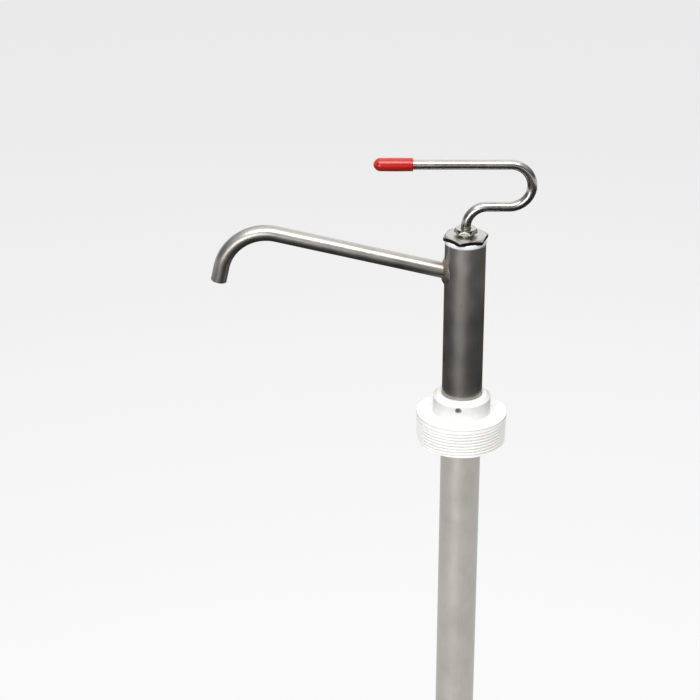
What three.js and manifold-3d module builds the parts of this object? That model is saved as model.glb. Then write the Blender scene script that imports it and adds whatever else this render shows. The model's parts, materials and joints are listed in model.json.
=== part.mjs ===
// A hand-operated lift pump that stands in the 2 in. opening of a drum: a stainless barrel with a
// bent spout, a piston on a long rod whose top end is bent into the handle, a ball foot valve, and a
// white plastic adapter that screws into the drum and grips the barrel with a grub screw.
//
// Millimetres, +Z up. The origin is on the barrel's axis, level with the top of the adapter's
// threaded plug, which is flush with the drum's neck. The spout points along -X.

import * as THREE from "three";
import { mergeVertices } from "three/addons/utils/BufferGeometryUtils.js";
import Module from "manifold-3d";

const wasm = await Module();
wasm.setup();

// ---------------------------------------------------------------- driving dimensions

const INCH = 25.4;

// fits
const SLIDE_FIT = 0.1; // radial gap where a piece slides or turns in another
const LOOSE_FIT = 0.2; // radial gap round the rod, and of the barrel in the adapter
const THREAD_FIT = 0.15; // radial gap between a screwed piece and its thread
const WELD_GAP = 0.2; // gap left where a piece is cut to its neighbour's surface
const BALL_GAP = 0.1; // a valve ball's gap to its seat
const OVERCUT = 2; // how far a cutting solid runs past the face that it cuts

// barrel: 3/4 in. pipe
const BARREL_R = (1.05 * INCH) / 2;
const BARREL_WALL = 2.11;
const BARREL_TOP = 121;
const BARREL_LENGTH = 784;

// spout: 1/8 in. pipe, welded on at an upward slope, with one bend
const SPOUT_R = (0.405 * INCH) / 2;
const SPOUT_WALL = 1.24;
const SPOUT_AXIS_Z = 98.25; // where the spout's axis meets the barrel's axis
const SPOUT_SLOPE = THREE.MathUtils.degToRad(13.2);
const SPOUT_STRAIGHT = 125; // from the barrel's axis to the bend
const SPOUT_BEND_R = 29.7;
const SPOUT_BEND = THREE.MathUtils.degToRad(91);
const SPOUT_TAIL = 10;
const WELD_FOOT = 4.2; // the weld's reach along the barrel
const WELD_TOE = 2.2; // and along the spout
const WELD_EDGE = 0.6; // its thickness where it ends on the spout

// gland at the top of the barrel
const GASKET_PROUD = 0.265; // the gasket stands out past the barrel by this much
const GASKET_THICK = 2.6;
const CAP_INSET = 0.235; // the cap's flats are inside the barrel's outline by this much
const CAP_THICK = 2.9;
const CAP_SLOPE = Math.tan(THREE.MathUtils.degToRad(24)); // of the cone that cuts the cap's corners
const CAP_TURN = THREE.MathUtils.degToRad(12.7); // a corner's turn from +X
const CAP_SHANK_DEPTH = 12; // below the barrel's rim
const STUFFING_R = 5.25;
const STUFFING_DEPTH = 12.7; // below the cap's top face
const PACKING_RINGS = 3;
const PACKING_THICK = 2.4;
const FOLLOWER_THICK = 1;
const GLAND_FLATS = 0.53 * INCH;
const GLAND_THICK = 3;
const GLAND_TURN = THREE.MathUtils.degToRad(-9);
const GLAND_LIFT = 1.6; // daylight under the gland nut's hexagon
const CHAMFER_CIRCLE = 0.3; // a hexagon's chamfer circle is inside its flats by this much
const GLAND_CIRCLE = 0.15; // and that of the gland nut's steeper chamfer
const BUSH_R = 5;
const BUSH_DEPTH = 4;
const CHAMFER_SLOPE = Math.tan(THREE.MathUtils.degToRad(30));
const GLAND_SLOPE = Math.tan(THREE.MathUtils.degToRad(60));

// rod and handle: one 1/4 in. bar
const ROD_R = INCH / 8;
const HANDLE_REST = 1.1; // straight rod between the gland nut and the bend, at the bottom of the stroke
const NECK_BEND_R = 13.5;
const HANDLE_REACH = 27.3; // from the axis to the middle of the return bend
const RETURN_BEND_R = 14.3;
const HANDLE_LENGTH = 85.3; // top bar, from the return bend to the bar's end
const GRIP_R = 4.35;
const GRIP_LENGTH = 25.3;
const GRIP_END_WALL = 1.6;
const GRIP_NOSE = 4;
const GRIP_NOSE_R = 1.8;

// stroke
const STROKE = 330;
const COLLAR_R = 6.5;
const COLLAR_HEIGHT = 10;
const COLLAR_PIN_R = 1.25;

// piston
const FOOT_TO_PISTON = 32; // from the barrel's lower end to the piston's
const PISTON_SEAT_HEIGHT = 8;
const PISTON_GUIDE_HEIGHT = 6;
const CUP_HEIGHT = 8;
const CUP_GROOVE_R = 8.6;
const CUP_ROOT_WALL = 1.2;
const CUP_LIP_HEIGHT = 1;
const PISTON_LIP_HEIGHT = 2;
const PISTON_NECK_R = 7.5;
const PISTON_BALL_R = (0.375 * INCH) / 2;
const PISTON_SEAT_R = 7;
const PISTON_SEAT_BORE_R = 3.8;
const PISTON_BALL_ROOM = 1; // radial gap round the ball, where the liquid passes
const PISTON_BALL_LIFT = 4;
const PISTON_PIN_R = 1.25;
const PISTON_PORT_R = 2.5;
const PISTON_PORTS = 4;
const ROD_ENGAGEMENT = 9;
const ROD_END_ROOM = 2; // from the rod's lower end to the valve chamber
const JAM_FLATS = 0.4375 * INCH;
const JAM_THICK = 5.5;

// foot valve
const FOOT_SPIGOT_HEIGHT = 12; // inside the barrel
const FOOT_SKIRT_HEIGHT = 16; // below the barrel
const FOOT_SKIRT_BORE_R = 10;
const FOOT_SKIRT_DEPTH = 10;
const FOOT_FUNNEL_DEPTH = 4;
const FOOT_INLET_R = 6;
const NOTCH_WIDTH = 7;
const NOTCH_HEIGHT = 8;
const FOOT_SEAT_R = 9;
const FOOT_SEAT_DEPTH = 4;
const FOOT_SEAT_PROUD = 1;
const FOOT_SEAT_BORE_R = 5;
const FOOT_BALL_R = (0.5 * INCH) / 2;
const FOOT_BALL_LIFT = 4;
const FOOT_PIN_R = 1.5;
const FOOT_PIN_PROUD = 0.3; // its peened ends stand out of the barrel by this much

// adapter: 2 in. tapered pipe thread
const PLUG_R = (2.375 * INCH) / 2;
const PLUG_DEPTH = 22;
const PLUG_TAPER = 1 / 32; // of radius, per unit of depth
const PLUG_LEAD = 2;
const BOSS_R = 0.75 * INCH;
const BOSS_HEIGHT = 13.7;
const BOSS_CHAMFER = 2.7;
const SEAL_CORD_R = 1.3;
const SEAL_Z = -11;
const SCREW_R = 2;
const SCREW_LENGTH = 3.6;
const SCREW_Z = 8.6;
const SCREW_TURN = THREE.MathUtils.degToRad(-9.4); // round from -Y towards -X
const SCREW_KEY_R = 1.15;
const SCREW_KEY_DEPTH = 2;
const PAD_THICK = 1;
const PAD_GAP = 0.05;

// facets
const SIDES_LARGE = 40;
const SIDES_ROD = 20;
const SIDES_SMALL = 12;
const CORD_SIDES = 8;
const BALL_RINGS = 10;
const BEND_STEP = THREE.MathUtils.degToRad(10);

// ---------------------------------------------------------------- derived places

const BARREL_BORE_R = BARREL_R - BARREL_WALL;
const BARREL_BOTTOM = BARREL_TOP - BARREL_LENGTH;
const ROD_BORE_R = ROD_R + LOOSE_FIT;

const CAP_FLATS = 2 * (BARREL_R - CAP_INSET);
const CAP_BOTTOM = BARREL_TOP + GASKET_THICK;
const CAP_TOP = CAP_BOTTOM + CAP_THICK;
const SHANK_R = BARREL_BORE_R - THREAD_FIT;
const SHANK_BOTTOM = BARREL_TOP - CAP_SHANK_DEPTH;
const STUFFING_FLOOR = CAP_TOP - STUFFING_DEPTH;
const PACKING_TOP = STUFFING_FLOOR + PACKING_RINGS * PACKING_THICK;
const FOLLOWER_TOP = PACKING_TOP + FOLLOWER_THICK;
const GLAND_BOTTOM = CAP_TOP + GLAND_LIFT;
const GLAND_TOP = GLAND_BOTTOM + GLAND_THICK;

const HANDLE_START_Z = GLAND_TOP + HANDLE_REST;
const HANDLE_LOW_Z = HANDLE_START_Z + NECK_BEND_R;
const HANDLE_HIGH_Z = HANDLE_LOW_Z + 2 * RETURN_BEND_R;
const HANDLE_END_X = HANDLE_REACH - HANDLE_LENGTH;

const PISTON_BOTTOM = BARREL_BOTTOM + FOOT_TO_PISTON;
const PISTON_SEAT_TOP = PISTON_BOTTOM + PISTON_SEAT_HEIGHT;
const CUP_BOTTOM = PISTON_BOTTOM + PISTON_GUIDE_HEIGHT + PISTON_SEAT_HEIGHT / 2;
const CUP_TOP = CUP_BOTTOM + CUP_HEIGHT;
const LIP_TOP = CUP_TOP + PISTON_LIP_HEIGHT;
const CHAMBER_R = PISTON_BALL_R + PISTON_BALL_ROOM;
const CHAMBER_TOP = LIP_TOP + 2 * PISTON_PORT_R;
const PISTON_TOP = CHAMBER_TOP + ROD_END_ROOM + ROD_ENGAGEMENT;
const PISTON_BALL_Z =
  PISTON_SEAT_TOP + Math.sqrt(PISTON_BALL_R ** 2 - PISTON_SEAT_BORE_R ** 2) + BALL_GAP;
const PISTON_PIN_Z = PISTON_BALL_Z + PISTON_BALL_R + PISTON_BALL_LIFT + PISTON_PIN_R + BALL_GAP;
const PISTON_PORT_Z = CHAMBER_TOP - PISTON_PORT_R;
const ROD_BOTTOM = PISTON_TOP - ROD_ENGAGEMENT;
const COLLAR_TOP = SHANK_BOTTOM - STROKE - SLIDE_FIT;

const FOOT_BOTTOM = BARREL_BOTTOM - FOOT_SKIRT_HEIGHT;
const FOOT_PLUG_TOP = BARREL_BOTTOM + FOOT_SPIGOT_HEIGHT;
const FOOT_SEAT_TOP = FOOT_PLUG_TOP + FOOT_SEAT_PROUD;
const FOOT_BALL_Z =
  FOOT_SEAT_TOP + Math.sqrt(FOOT_BALL_R ** 2 - FOOT_SEAT_BORE_R ** 2) + BALL_GAP;
const FOOT_PIN_Z = FOOT_BALL_Z + FOOT_BALL_R + FOOT_BALL_LIFT + FOOT_PIN_R + BALL_GAP;

const ADAPTER_BORE_R = BARREL_R + LOOSE_FIT;

// ---------------------------------------------------------------- materials

const finish = (color, roughness, metalness) =>
  new THREE.MeshStandardMaterial({ color, roughness, metalness });

const tubeSteel = finish(0x8c8882, 0.4, 1);
const brightSteel = finish(0xb9b4ac, 0.28, 1);
const weldSteel = finish(0x7c756b, 0.5, 1);
const ballSteel = finish(0xc8c8c8, 0.12, 1);
const whitePlastic = finish(0xf4f4f1, 0.5, 0);
const sealPlastic = finish(0xeceff4, 0.45, 0);
const redVinyl = finish(0xc81a14, 0.4, 0);
const blackRubber = finish(0x1b1b1b, 0.7, 0);

// ---------------------------------------------------------------- solids

// A closed three.js geometry as a manifold-3d solid.
function solidOf(geometry) {
  const bare = geometry.clone();
  bare.deleteAttribute("normal");
  bare.deleteAttribute("uv");
  const merged = mergeVertices(bare, 1e-4);
  return new wasm.Manifold(
    new wasm.Mesh({
      numProp: 3,
      vertProperties: merged.attributes.position.array,
      triVerts: new Uint32Array(merged.index.array),
    }),
  );
}

// A solid back as a three.js geometry.
function geometryOf(solid) {
  const mesh = solid.getMesh();
  const geometry = new THREE.BufferGeometry();
  geometry.setAttribute("position", new THREE.BufferAttribute(mesh.vertProperties, 3));
  geometry.setIndex(new THREE.BufferAttribute(mesh.triVerts, 1));
  geometry.computeVertexNormals();
  return geometry;
}

// A profile of [radius, height] points turned about Z. One that doesn't start and end on the axis is
// closed on itself, and it may be listed either way round.
function turned(profile, sides = SIDES_LARGE) {
  const points = profile.map(([r, z]) => new THREE.Vector2(r, z));
  const onAxis = profile[0][0] === 0 && profile.at(-1)[0] === 0;
  if (!onAxis) points.push(points[0].clone());
  if (THREE.ShapeUtils.area(points) < 0) points.reverse();
  return new THREE.LatheGeometry(points, sides).rotateX(Math.PI / 2);
}

const ring = (outer, inner, bottom, top, sides) =>
  turned([[inner, bottom], [outer, bottom], [outer, top], [inner, top]], sides);

const disc = (radius, bottom, top, sides) =>
  turned([[0, bottom], [radius, bottom], [radius, top], [0, top]], sides);

// A half circle of radius about the axis, turned into a ball.
function ball(radius, z, sides = SIDES_ROD) {
  const half = Array.from({ length: BALL_RINGS + 1 }, (_, i) => {
    const angle = -Math.PI / 2 + (Math.PI * i) / BALL_RINGS;
    const onAxis = i === 0 || i === BALL_RINGS;
    return [onAxis ? 0 : radius * Math.cos(angle), z + radius * Math.sin(angle)];
  });
  return turned(half, sides);
}

// A hexagonal bar across flats, from one height to another, with a corner at the given turn.
function hexBar(flats, bottom, top, turn = 0) {
  const bar = new THREE.CylinderGeometry(flats / Math.sqrt(3), flats / Math.sqrt(3), top - bottom, 6);
  return bar
    .rotateX(Math.PI / 2)
    .rotateZ(turn - Math.PI / 2)
    .translate(0, 0, (top + bottom) / 2);
}

// The cone that takes a hexagon's upper corners off.
function cornerCone(flats, bottom, top, inset = CHAMFER_CIRCLE, slope = CHAMFER_SLOPE) {
  const inner = flats / 2 - inset;
  const corner = flats / Math.sqrt(3);
  const drop = (corner - inner) * slope;
  const outer = corner + OVERCUT;
  return turned([
    [0, bottom],
    [outer, bottom],
    [outer, top - drop],
    [corner, top - drop],
    [inner, top],
    [0, top],
  ]);
}

// A straight round bar from one point to another.
function bar(from, to, radius, sides = SIDES_SMALL) {
  const along = new THREE.Vector3().subVectors(to, from);
  const turn = new THREE.Quaternion().setFromUnitVectors(
    new THREE.Vector3(0, 1, 0),
    along.clone().normalize(),
  );
  const middle = new THREE.Vector3().addVectors(from, to).multiplyScalar(0.5);
  return new THREE.CylinderGeometry(radius, radius, along.length(), sides)
    .applyQuaternion(turn)
    .translate(middle.x, middle.y, middle.z);
}

// A bent bar's centreline in the XZ plane: straights and circular bends, one after another, with a
// station at each end of a straight and every few degrees of a bend.
class BentLine extends THREE.Curve {
  constructor(x, z, heading) {
    super();
    this.heading = heading; // from +X towards +Z
    this.stations = [{ point: new THREE.Vector3(x, 0, z), heading }];
  }

  straight(length) {
    const { point } = this.stations.at(-1);
    const next = new THREE.Vector3(
      point.x + length * Math.cos(this.heading),
      0,
      point.z + length * Math.sin(this.heading),
    );
    this.stations.push({ point: next, heading: this.heading });
    return this;
  }

  // A positive angle turns from +X towards +Z.
  bend(radius, angle) {
    const { point } = this.stations.at(-1);
    const side = Math.sign(angle);
    const centreX = point.x - side * radius * Math.sin(this.heading);
    const centreZ = point.z + side * radius * Math.cos(this.heading);
    const steps = Math.ceil(Math.abs(angle) / BEND_STEP);
    for (let i = 1; i <= steps; i++) {
      const heading = this.heading + (angle * i) / steps;
      const next = new THREE.Vector3(
        centreX + side * radius * Math.sin(heading),
        0,
        centreZ - side * radius * Math.cos(heading),
      );
      this.stations.push({ point: next, heading });
    }
    this.heading += angle;
    return this;
  }

  getSpacedPoints() {
    return this.stations.map((station) => station.point);
  }

  getTangentAt(share) {
    const { heading } = this.stations[Math.round(share * (this.stations.length - 1))];
    return new THREE.Vector3(Math.cos(heading), 0, Math.sin(heading));
  }

  get end() {
    return this.stations.at(-1);
  }
}

// A round bar along a bent centreline.
function bentBar(line, radius, sides) {
  const section = new THREE.Shape(
    Array.from({ length: sides }, (_, i) => {
      const angle = (2 * Math.PI * i) / sides;
      return new THREE.Vector2(radius * Math.cos(angle), radius * Math.sin(angle));
    }),
  );
  return new THREE.ExtrudeGeometry(section, {
    steps: line.stations.length - 1,
    extrudePath: line,
    bevelEnabled: false,
  });
}

// Cuts the geometries in others away from the first one.
function cut(geometry, ...others) {
  const left = others.reduce((solid, other) => solid.subtract(solidOf(other)), solidOf(geometry));
  return geometryOf(left);
}

const joined = (...parts) =>
  geometryOf(parts.map(solidOf).reduce((solid, part) => solid.add(part)));

const overlap = (a, b) => geometryOf(solidOf(a).intersect(solidOf(b)));

// ---------------------------------------------------------------- the tree of parts

function piece(group, name, geometry, material) {
  const mesh = new THREE.Mesh(geometry, material);
  mesh.name = name;
  group.add(mesh);
  return mesh;
}

const pump = new THREE.Group();
const adapter = new THREE.Group();
const barrel = new THREE.Group();
const rod = new THREE.Group();
pump.add(adapter, barrel, rod);

// ---------------------------------------------------------------- adapter

const screwDirection = new THREE.Vector3(Math.sin(SCREW_TURN), -Math.cos(SCREW_TURN), 0);

// A point on the grub screw's axis at a distance from the barrel's axis.
const onScrewAxis = (radius) =>
  screwDirection.clone().multiplyScalar(radius).setZ(SCREW_Z);

const padInner = BARREL_R + PAD_GAP;
const screwInner = padInner + PAD_THICK;

// Threaded plug with a wrenching boss above it, bored for the barrel, with a groove for the seal.
function bungAdapter() {
  const leadR = PLUG_R - PLUG_DEPTH * PLUG_TAPER - PLUG_LEAD;
  const taperEndR = PLUG_R - (PLUG_DEPTH - PLUG_LEAD) * PLUG_TAPER;
  const grooveR = ADAPTER_BORE_R + 2 * SEAL_CORD_R - LOOSE_FIT + SLIDE_FIT;
  const grooveHalf = SEAL_CORD_R + SLIDE_FIT;
  const body = turned([
    [ADAPTER_BORE_R, -PLUG_DEPTH],
    [leadR, -PLUG_DEPTH],
    [taperEndR, -PLUG_DEPTH + PLUG_LEAD],
    [PLUG_R, 0],
    [BOSS_R, 0],
    [BOSS_R, BOSS_HEIGHT - BOSS_CHAMFER],
    [BOSS_R - BOSS_CHAMFER, BOSS_HEIGHT],
    [ADAPTER_BORE_R, BOSS_HEIGHT],
    [ADAPTER_BORE_R, SEAL_Z + grooveHalf],
    [grooveR, SEAL_Z + grooveHalf],
    [grooveR, SEAL_Z - grooveHalf],
    [ADAPTER_BORE_R, SEAL_Z - grooveHalf],
  ]);
  const screwHole = bar(
    onScrewAxis(BARREL_R - OVERCUT),
    onScrewAxis(BOSS_R + OVERCUT),
    SCREW_R + THREAD_FIT,
  );
  return cut(body, screwHole);
}

// A ring of round cord, resting against the barrel.
function sealRing() {
  const cordR = SEAL_CORD_R - SLIDE_FIT / 2;
  const centreR = BARREL_R + SEAL_CORD_R + SLIDE_FIT / 2;
  const circle = Array.from({ length: CORD_SIDES }, (_, i) => {
    const angle = (2 * Math.PI * i) / CORD_SIDES;
    return [centreR + cordR * Math.cos(angle), SEAL_Z + cordR * Math.sin(angle)];
  });
  return turned(circle);
}

// Grub screw with a hexagonal key socket in its outer end.
function grubScrew() {
  const outer = screwInner + SCREW_LENGTH;
  const shank = bar(onScrewAxis(screwInner), onScrewAxis(outer), SCREW_R);
  const socket = bar(
    onScrewAxis(outer - SCREW_KEY_DEPTH),
    onScrewAxis(outer + OVERCUT),
    SCREW_KEY_R,
    6,
  );
  return cut(shank, socket);
}

piece(adapter, "bung_adapter", bungAdapter(), whitePlastic);
piece(adapter, "barrel_seal_ring", sealRing(), blackRubber);
piece(adapter, "grub_screw", grubScrew(), brightSteel);
piece(
  adapter,
  "pressure_pad",
  bar(onScrewAxis(padInner + PAD_GAP), onScrewAxis(screwInner - PAD_GAP), SCREW_R - SLIDE_FIT),
  sealPlastic,
);

// ---------------------------------------------------------------- barrel, spout and weld

const spoutLine = (startAt) =>
  new BentLine(
    -startAt * Math.cos(SPOUT_SLOPE),
    SPOUT_AXIS_Z + startAt * Math.sin(SPOUT_SLOPE),
    Math.PI - SPOUT_SLOPE,
  )
    .straight(SPOUT_STRAIGHT - startAt)
    .bend(SPOUT_BEND_R, SPOUT_BEND)
    .straight(SPOUT_TAIL);

// A point on the spout's sloping axis at a distance from the barrel's axis.
const onSpoutAxis = (distance) =>
  new THREE.Vector3(
    -distance * Math.cos(SPOUT_SLOPE),
    0,
    SPOUT_AXIS_Z + distance * Math.sin(SPOUT_SLOPE),
  );

// Pipe with the spout's port and the holes of the ball stop pin.
function barrelTube() {
  const tube = ring(BARREL_R, BARREL_BORE_R, BARREL_BOTTOM, BARREL_TOP);
  const port = bar(onSpoutAxis(0), onSpoutAxis(2 * BARREL_R), SPOUT_R - SPOUT_WALL, SIDES_ROD);
  const reach = 2 * (BARREL_R + OVERCUT);
  const pinHole = bar(
    new THREE.Vector3(0, -reach / 2, FOOT_PIN_Z),
    new THREE.Vector3(0, reach / 2, FOOT_PIN_Z),
    FOOT_PIN_R + SLIDE_FIT,
  );
  return cut(tube, port, pinHole);
}

// Bent tube, coped at its root to lie against the barrel.
function spoutTube() {
  const outside = bentBar(spoutLine(BARREL_R / 2), SPOUT_R, SIDES_ROD);
  const insideLine = spoutLine(BARREL_R / 2 - OVERCUT).straight(OVERCUT);
  const inside = bentBar(insideLine, SPOUT_R - SPOUT_WALL, SIDES_ROD);
  const cope = disc(BARREL_R + WELD_GAP, 0, BARREL_TOP + OVERCUT);
  return cut(outside, inside, cope);
}

// Fillet of weld metal round the spout's root.
function spoutWeld() {
  const root = onSpoutAxis(BARREL_R / 2);
  const footR = SPOUT_R + WELD_FOOT;
  const footAt = BARREL_R / 2 - WELD_EDGE;
  const toeAt = BARREL_R / 2 + WELD_TOE;
  const cone = turned(
    [[0, 0], [footR, 0], [footR, footAt], [SPOUT_R + WELD_EDGE, toeAt], [0, toeAt]],
    SIDES_ROD,
  )
    .rotateY(-(Math.PI / 2 - SPOUT_SLOPE))
    .translate(root.x, root.y, root.z);
  const cope = disc(BARREL_R + WELD_GAP, 0, BARREL_TOP + OVERCUT);
  const spout = bar(onSpoutAxis(0), onSpoutAxis(3 * BARREL_R), SPOUT_R + WELD_GAP, SIDES_ROD);
  return cut(cone, cope, spout);
}

piece(barrel, "barrel_tube", barrelTube(), tubeSteel);
piece(barrel, "spout_tube", spoutTube(), tubeSteel);
piece(barrel, "spout_weld", spoutWeld(), weldSteel);

// ---------------------------------------------------------------- gland

// Hexagon head over a screwed shank, with a stuffing box above and a bush seat below.
function hexCap() {
  const head = overlap(
    hexBar(CAP_FLATS, CAP_BOTTOM, CAP_TOP, CAP_TURN),
    cornerCone(CAP_FLATS, CAP_BOTTOM, CAP_TOP, CHAMFER_CIRCLE, CAP_SLOPE),
  );
  const shank = disc(SHANK_R, SHANK_BOTTOM, CAP_BOTTOM);
  const bores = turned([
    [0, SHANK_BOTTOM - OVERCUT],
    [BUSH_R, SHANK_BOTTOM - OVERCUT],
    [BUSH_R, SHANK_BOTTOM + BUSH_DEPTH],
    [ROD_BORE_R, SHANK_BOTTOM + BUSH_DEPTH],
    [ROD_BORE_R, STUFFING_FLOOR],
    [STUFFING_R, STUFFING_FLOOR],
    [STUFFING_R, CAP_TOP + OVERCUT],
    [0, CAP_TOP + OVERCUT],
  ]);
  return cut(joined(head, shank), bores);
}

// Gland nut: a steeply chamfered hexagon over a screwed neck that presses on the packing.
function packingNut() {
  const head = overlap(
    hexBar(GLAND_FLATS, GLAND_BOTTOM, GLAND_TOP, GLAND_TURN),
    cornerCone(GLAND_FLATS, GLAND_BOTTOM, GLAND_TOP, GLAND_CIRCLE, GLAND_SLOPE),
  );
  const neck = disc(STUFFING_R - THREAD_FIT, FOLLOWER_TOP, GLAND_BOTTOM + GLAND_THICK / 2);
  const hole = disc(ROD_BORE_R, FOLLOWER_TOP - OVERCUT, GLAND_TOP + OVERCUT, SIDES_ROD);
  return cut(joined(head, neck), hole);
}

piece(
  barrel,
  "cap_gasket",
  ring(BARREL_R + GASKET_PROUD, SHANK_R + THREAD_FIT, BARREL_TOP, CAP_BOTTOM),
  sealPlastic,
);
piece(barrel, "hex_cap", hexCap(), brightSteel);
piece(barrel, "packing_nut", packingNut(), brightSteel);
piece(
  barrel,
  "packing_follower",
  ring(STUFFING_R - SLIDE_FIT, ROD_BORE_R, PACKING_TOP + SLIDE_FIT, FOLLOWER_TOP, SIDES_ROD),
  brightSteel,
);
for (let i = 0; i < PACKING_RINGS; i++) {
  const bottom = STUFFING_FLOOR + i * PACKING_THICK;
  piece(
    barrel,
    `packing_ring_${i + 1}`,
    ring(STUFFING_R - SLIDE_FIT, ROD_R + SLIDE_FIT, bottom, bottom + PACKING_THICK, SIDES_ROD),
    sealPlastic,
  );
}
piece(
  barrel,
  "rod_guide_bush",
  ring(BUSH_R - SLIDE_FIT, ROD_R + SLIDE_FIT, SHANK_BOTTOM, SHANK_BOTTOM + BUSH_DEPTH, SIDES_ROD),
  sealPlastic,
);

// ---------------------------------------------------------------- foot valve

// Spigot that fills the barrel's end, with a recess for the seat, over a skirt with four notches and
// a funnel-shaped inlet.
function footPlug() {
  const body = turned([
    [FOOT_SKIRT_BORE_R, FOOT_BOTTOM],
    [BARREL_R, FOOT_BOTTOM],
    [BARREL_R, BARREL_BOTTOM],
    [BARREL_BORE_R - THREAD_FIT, BARREL_BOTTOM],
    [BARREL_BORE_R - THREAD_FIT, FOOT_PLUG_TOP],
    [FOOT_SEAT_R + SLIDE_FIT, FOOT_PLUG_TOP],
    [FOOT_SEAT_R + SLIDE_FIT, FOOT_PLUG_TOP - FOOT_SEAT_DEPTH],
    [FOOT_INLET_R, FOOT_PLUG_TOP - FOOT_SEAT_DEPTH],
    [FOOT_INLET_R, FOOT_BOTTOM + FOOT_SKIRT_DEPTH + FOOT_FUNNEL_DEPTH],
    [FOOT_SKIRT_BORE_R, FOOT_BOTTOM + FOOT_SKIRT_DEPTH],
  ]);
  const reach = 2 * (BARREL_R + OVERCUT);
  const height = NOTCH_HEIGHT + OVERCUT;
  const notch = new THREE.BoxGeometry(reach, NOTCH_WIDTH, height).translate(
    0,
    0,
    FOOT_BOTTOM + NOTCH_HEIGHT - height / 2,
  );
  return cut(body, notch, notch.clone().rotateZ(Math.PI / 2));
}

piece(barrel, "foot_plug", footPlug(), brightSteel);
piece(
  barrel,
  "foot_seat",
  ring(FOOT_SEAT_R, FOOT_SEAT_BORE_R, FOOT_PLUG_TOP - FOOT_SEAT_DEPTH, FOOT_SEAT_TOP, SIDES_ROD),
  sealPlastic,
);
piece(barrel, "foot_ball", ball(FOOT_BALL_R, FOOT_BALL_Z), ballSteel);
piece(
  barrel,
  "ball_stop_pin",
  bar(
    new THREE.Vector3(0, -(BARREL_R + FOOT_PIN_PROUD), FOOT_PIN_Z),
    new THREE.Vector3(0, BARREL_R + FOOT_PIN_PROUD, FOOT_PIN_Z),
    FOOT_PIN_R,
  ),
  brightSteel,
);

// ---------------------------------------------------------------- rod, handle and grip

// The rod and the handle are one bar: straight up the barrel, out of the gland, over to +X, back in
// a half circle, and along -X above the barrel.
function pumpRod() {
  const line = new BentLine(0, ROD_BOTTOM, Math.PI / 2)
    .straight(HANDLE_START_Z - ROD_BOTTOM)
    .bend(NECK_BEND_R, -Math.PI / 2)
    .straight(HANDLE_REACH - NECK_BEND_R)
    .bend(RETURN_BEND_R, Math.PI)
    .straight(HANDLE_LENGTH);
  const pinHole = bar(
    new THREE.Vector3(0, -COLLAR_R, COLLAR_TOP - COLLAR_HEIGHT / 2),
    new THREE.Vector3(0, COLLAR_R, COLLAR_TOP - COLLAR_HEIGHT / 2),
    COLLAR_PIN_R + SLIDE_FIT,
  );
  return cut(bentBar(line, ROD_R, SIDES_ROD), pinHole);
}

// Push-on cap with a blunt cone for a nose.
function handleGrip() {
  const bore = ROD_R + SLIDE_FIT;
  const depth = GRIP_LENGTH - GRIP_END_WALL;
  return turned(
    [
      [bore, 0],
      [GRIP_R, 0],
      [GRIP_R, GRIP_LENGTH - GRIP_NOSE],
      [GRIP_NOSE_R, GRIP_LENGTH],
      [0, GRIP_LENGTH],
      [0, depth],
      [bore, depth],
    ],
    SIDES_ROD,
  )
    .rotateY(-Math.PI / 2)
    .translate(HANDLE_END_X + depth - SLIDE_FIT, 0, HANDLE_HIGH_Z);
}

// Ring pinned to the rod, which meets the cap's shank at the top of the stroke.
function stopCollar() {
  const middle = COLLAR_TOP - COLLAR_HEIGHT / 2;
  const collar = ring(COLLAR_R, ROD_R + SLIDE_FIT, COLLAR_TOP - COLLAR_HEIGHT, COLLAR_TOP, SIDES_ROD);
  const reach = COLLAR_R + OVERCUT;
  const pinHole = bar(
    new THREE.Vector3(0, -reach, middle),
    new THREE.Vector3(0, reach, middle),
    COLLAR_PIN_R + SLIDE_FIT,
  );
  return cut(collar, pinHole);
}

piece(rod, "pump_rod", pumpRod(), brightSteel);
piece(rod, "handle_grip", handleGrip(), redVinyl);
piece(rod, "stop_collar", stopCollar(), brightSteel);
piece(
  rod,
  "stop_collar_pin",
  bar(
    new THREE.Vector3(0, -(COLLAR_R - SLIDE_FIT), COLLAR_TOP - COLLAR_HEIGHT / 2),
    new THREE.Vector3(0, COLLAR_R - SLIDE_FIT, COLLAR_TOP - COLLAR_HEIGHT / 2),
    COLLAR_PIN_R,
  ),
  brightSteel,
);

// ---------------------------------------------------------------- piston

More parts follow.
